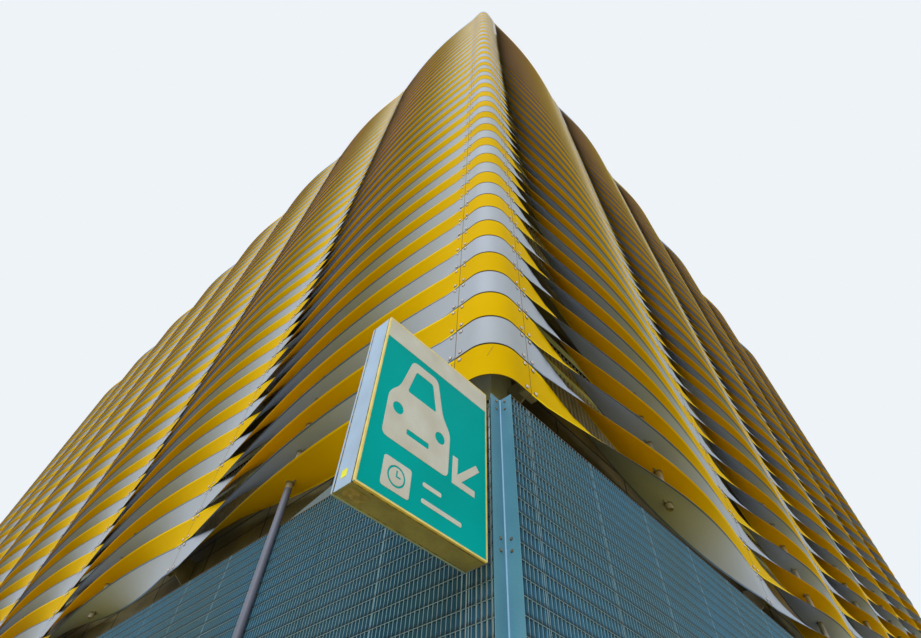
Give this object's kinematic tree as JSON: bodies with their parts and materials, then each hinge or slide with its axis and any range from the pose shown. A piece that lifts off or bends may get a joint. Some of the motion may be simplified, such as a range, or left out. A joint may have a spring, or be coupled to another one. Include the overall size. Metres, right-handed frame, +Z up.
{
  "type": "multi storey car park",
  "caption": "Multi storey car park: open concrete decks wrapped in level metal ribbons that twist half a turn in every bay, with grating screens at the ground and a projecting sign.",
  "frame": {"origin": "ground level under the middle of the block, on the underside of the ground slab", "axes": "+Z up, the short front side faces -Y and the sign stands out from the left side, which faces -X"},
  "size_m": [30.304, 38.908, 27.91],
  "materials": {
    "ribbon_sheet": "coated metal sheet, yellow on one face and silver grey on the other",
    "corner_sheet": "coated metal sheet in yellow and silver grey by turns",
    "post_steel": "galvanised steel",
    "pole_paint": "lilac grey paint",
    "concrete": "cast concrete",
    "grating_steel": "blue grey coated steel grating",
    "angle_paint": "blue grey paint, satin",
    "sign_paint": "pale lilac white paint",
    "sign_panel": "teal acrylic",
    "bracket_steel": "galvanised steel"
  },
  "bodies": {
    "root": {"back_edge_beams": "concrete", "back_joint_posts": "post_steel", "back_left_corner_ribbons": "corner_sheet", "back_ribbons_lower": "ribbon_sheet", "back_ribbons_upper": "ribbon_sheet", "back_right_corner_ribbons": "corner_sheet", "back_screen": "grating_steel", "column_row_1": "concrete", "column_row_2": "concrete", "column_row_3": "concrete", "column_row_4": "concrete", "corner_angles": "angle_paint", "corner_columns": "concrete", "deck_1": "concrete", "deck_2": "concrete", "deck_3": "concrete", "deck_4": "concrete", "deck_5": "concrete", "deck_6": "concrete", "deck_7": "concrete", "deck_8": "concrete", "front_edge_beams": "concrete", "front_joint_posts": "post_steel", "front_left_corner_ribbons": "corner_sheet", "front_ribbons_lower": "ribbon_sheet", "front_ribbons_upper": "ribbon_sheet", "front_right_corner_ribbons": "corner_sheet", "front_screen": "grating_steel", "ground_pole": "pole_paint", "ground_slab": "concrete", "left_edge_beams": "concrete", "left_joint_posts": "post_steel", "left_ribbons_lower": "ribbon_sheet", "left_ribbons_upper": "ribbon_sheet", "left_screen": "grating_steel", "right_edge_beams": "concrete", "right_joint_posts": "post_steel", "right_ribbons_lower": "ribbon_sheet", "right_ribbons_upper": "ribbon_sheet", "right_screen": "grating_steel", "sign_arms": "bracket_steel", "sign_back_face": "sign_panel", "sign_front_face": "sign_panel", "sign_housing": "sign_paint"}
  },
  "joints": []
}
